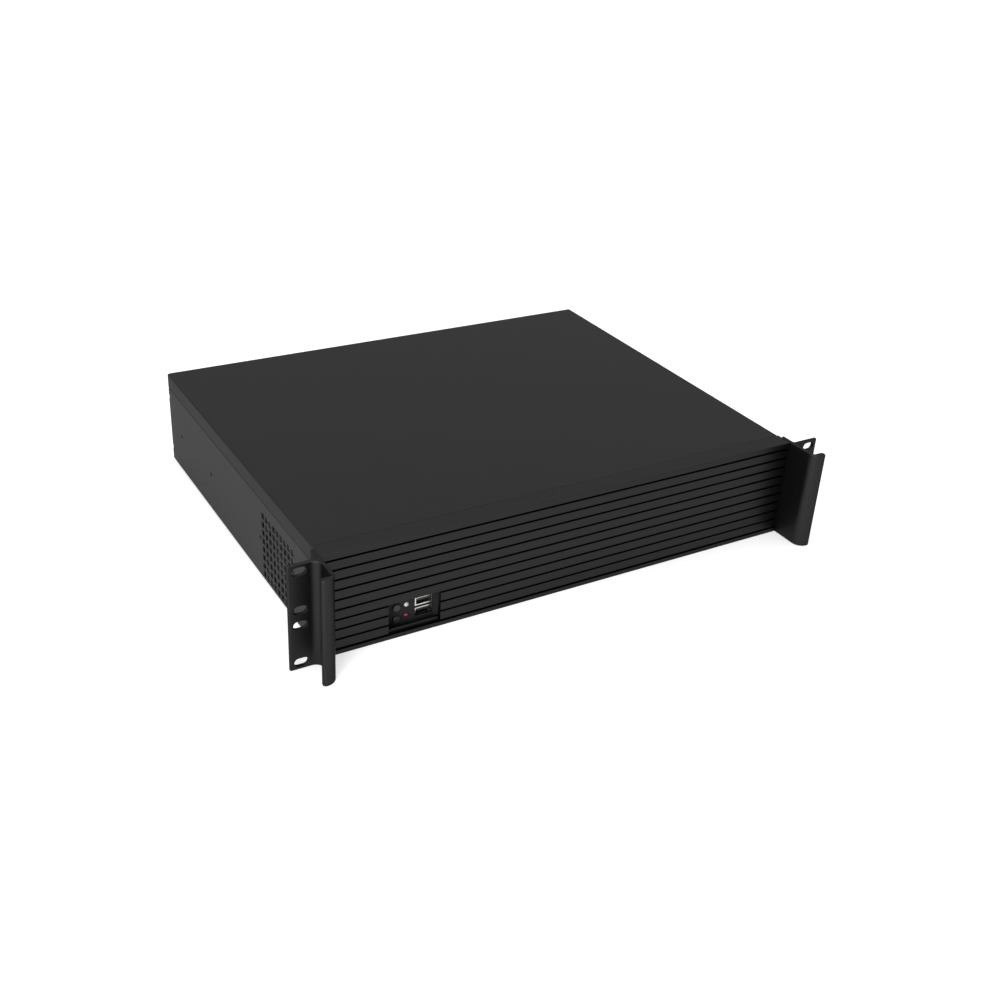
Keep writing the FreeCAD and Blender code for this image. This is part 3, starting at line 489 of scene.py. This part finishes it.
galvanised = finish_of("hot-dip galvanised steel", galvanised_inputs)
slot_covers = sorted(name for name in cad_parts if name.startswith("slot_cover_"))
dress(galvanised, *slot_covers)
slot_low, slot_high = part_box("slot_screws")
slot_seats = []
for cover in slot_covers:
    low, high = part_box(cover)
    across = (low.x + high.x) / 2
    slot_seats.append(Vector((across, (slot_low.y + slot_high.y) / 2, slot_high.z - head_high)))
slot_screw = pan_head(slot_high.z - head_high - slot_low.z)
set_of("slot_screw_heads", slot_screw, slot_seats, (0, 0, 1), zinc, "case", "slot_screws")

# ---------------------------------------------------------------- drive cage and power bracket
# Both are folded from galvanised sheet and stay uncoated, as the earth path of what they hold.
# Zinc plated screws hold the cage's feet to the floor.
dress(galvanised, "drive_cage", "psu_bracket")
cage_low, cage_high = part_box("cage_screws")
cage_seats = []
for across in (cage_low.x + head_across / 2, cage_high.x - head_across / 2):
    for deep in (cage_low.y + head_across / 2, cage_high.y - head_across / 2):
        cage_seats.append(Vector((across, deep, cage_high.z - head_high)))
cage_screw = pan_head(cage_high.z - head_high - cage_low.z)
set_of("cage_screw_heads", cage_screw, cage_seats, (0, 0, 1), zinc, "case", "cage_screws")

# ---------------------------------------------------------------- standoffs
# Hexagonal brass standoffs, turned from bar and tapped from above for the screws of a main board.
# They are pressed into the floor where the board's holes lie.
dress(brass, "board_standoffs")

# ---------------------------------------------------------------- side fan
# A slim 60 mm fan behind the left vents, its frame and rotor moulded in black glass-filled PBT.
# Four blackened screws hold it against the side wall.
dress(moulded("moulded PBT frame, black", "#0f0f10", "#161617", 0.6 * MM, 0.5, 0.65, 1.55),
      "fan_frame")
dress(moulded("moulded PBT rotor, black", "#111112", "#19191a", 0.6 * MM, 0.45, 0.6, 1.55),
      "fan_rotor")
fan_low, fan_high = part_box("fan_screws")
fan_seats = []
for deep in (fan_low.y + head_across / 2, fan_high.y - head_across / 2):
    for height in (fan_low.z + head_across / 2, fan_high.z - head_across / 2):
        fan_seats.append(Vector((fan_high.x - head_high, deep, height)))
fan_screw = pan_head(fan_high.x - head_high - fan_low.x)
set_of("fan_screw_heads", fan_screw, fan_seats, (1, 0, 0), black_oxide, "case", "fan_screws")

# ---------------------------------------------------------------- top cover and its thumbscrews
# The cover is folded from the same steel and powder coated, and slides on from behind.
# Three knurled thumbscrews, turned from steel and blackened, hold its rear edge.
# Its coat is the tray's powder, but with a darker tone that paints shade onto the cover's top.
shaded_cover_coat = powder_coat("powder coat on cover, darkened as painted shade", "#161617", "#1e1e1f")
dress(shaded_cover_coat, "top_cover")
thumb_low, thumb_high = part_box("cover_thumbscrews")
knob_across = 8.0 * MM
knob_long = 6.0 * MM
knurl_count = 32                # ridges round the knob
knurl_deep = 0.25 * MM
neck = 1.75 * MM                # radius of the threaded shank
cross_across = 4.4 * MM
cross_deep = 1.6 * MM
thumb_long = thumb_high.y - thumb_low.y - knob_long
rim = knob_across / 2
profile = [(0, -thumb_long), (neck * 0.8, -thumb_long), (neck, -thumb_long + 0.4 * MM), (neck, 0)]
profile += [(rim * 0.86, 0), (rim * 0.9, 0.5 * MM), (rim, 0.9 * MM), (rim, knob_long - 0.7 * MM)]
profile += [(rim * 0.92, knob_long - 0.1 * MM), (rim * 0.84, knob_long), (rim * 0.7, knob_long)]
profile += [(0, knob_long)]
form = turned(profile, knurl_count * 2)
for point in form.verts:
    flat = Vector((point.co.x, point.co.y))
    if flat.length > rim * 0.99:        # every second point of the widest part is a groove
        groove = round(math.atan2(flat.y, flat.x) / math.pi * knurl_count) % 2
        point.co.x, point.co.y = flat * (1 - groove * knurl_deep / rim)
thumb = with_cross(as_mesh(form, "thumbscrew"), knob_long, cross_across, cross_deep)
height = (thumb_low.z + thumb_high.z) / 2
seat = thumb_high.y - knob_long
columns = (thumb_low.x + rim, 0, thumb_high.x - rim)
thumb_seats = [Vector((across, seat, height)) for across in columns]
set_of("cover_thumbscrew_knobs", thumb, thumb_seats, (0, 1, 0), black_oxide, "cover",
       "cover_thumbscrews")

# ---------------------------------------------------------------- floor and light
# The case stands on wide white paper that runs into a white surround and keeps the case's shadow.
# A small soft box stands to the left and a large one hangs above.
floor_reach = 6.0               # from the middle to each side
floor_gap = 0.1 * MM            # between the floor and the underside of the case
floor_form = bmesh.new()
bmesh.ops.create_grid(floor_form, x_segments=1, y_segments=1, size=floor_reach)
floor = bpy.data.objects.new("floor", as_mesh(floor_form, "floor"))
bpy.context.scene.collection.objects.link(floor)
floor.location.z = cad_box[0].z - floor_gap


def seen(tree):
    """1 for rays that come from the camera, from a glossy surface or through glass, otherwise 0."""
    ray = add(tree, "ShaderNodeLightPath", {})
    most = ray.outputs["Is Camera Ray"]
    for name in ("Is Glossy Ray", "Is Transmission Ray"):
        larger = add(tree, "ShaderNodeMath", {0: most, 1: ray.outputs[name]}, operation="MAXIMUM")
        most = larger.outputs[0]
    return most


paper_glow = 0.5                # makes up, to the eye alone, what the light leaves short of white
surround_light = 0.65           # how strongly the surround lights the case
paper = bpy.data.materials.new("white paper floor")
paper.use_nodes = True
tree = paper.node_tree
tree.nodes.clear()
glow = add(tree, "ShaderNodeMath", {0: seen(tree), 1: paper_glow}, operation="MULTIPLY")
shine = add(tree, "ShaderNodeEmission", {"Strength": glow.outputs[0]})
matt = add(tree, "ShaderNodeBsdfDiffuse", {"Color": (0.8, 0.8, 0.8, 1)})
both = add(tree, "ShaderNodeAddShader", {0: shine.outputs[0], 1: matt.outputs[0]})
add(tree, "ShaderNodeOutputMaterial", {"Surface": both.outputs[0]})
floor.data.materials.append(paper)

surround = bpy.data.worlds.new("white surround")
bpy.context.scene.world = surround
surround.use_nodes = True
tree = surround.node_tree
tree.nodes.clear()
soft = add(tree, "ShaderNodeBackground", {"Color": (1, 1, 1, 1), "Strength": surround_light})
white = add(tree, "ShaderNodeBackground", {"Color": (1, 1, 1, 1), "Strength": 1.0})
mixed = add(tree, "ShaderNodeMixShader", {0: seen(tree), 1: soft.outputs[0], 2: white.outputs[0]})
add(tree, "ShaderNodeOutputWorld", {"Surface": mixed.outputs[0]})

for name, place, size, power in (("left soft box", (-1.0, -0.9, 0.4), 0.5, 14),
                                 ("top soft box", (0.3, 0.4, 2.2), 1.8, 16)):
    lamp = bpy.data.lights.new(name, "AREA")
    lamp.size = size
    lamp.energy = power
    stand = bpy.data.objects.new(name, lamp)
    stand.location = place
    stand.rotation_euler = (-Vector(place)).to_track_quat("-Z", "Y").to_euler()
    bpy.context.scene.collection.objects.link(stand)

bpy.context.scene.view_settings.view_transform = "Standard"

# ---------------------------------------------------------------- camera
# It looks down at the left front corner from about a metre away.
# Its heading is counted from straight ahead, and it leans slightly to one side.
camera = bpy.data.cameras.new("camera")
camera.lens = 45.51
camera.clip_start = 0.05
heading = math.radians(-31.90)
falling = math.radians(28.96)
leaning = math.radians(3.44)
stand = bpy.data.objects.new("camera", camera)
stand.location = (-0.5042, -0.85525, 0.5518)
level = math.cos(falling)
ahead = Vector((-math.sin(heading) * level, math.cos(heading) * level, -math.sin(falling)))
stand.rotation_mode = "QUATERNION"
lean = Matrix.Rotation(leaning, 3, "Z").to_quaternion()
stand.rotation_quaternion = ahead.to_track_quat("-Z", "Y") @ lean
bpy.context.scene.collection.objects.link(stand)
bpy.context.scene.camera = stand
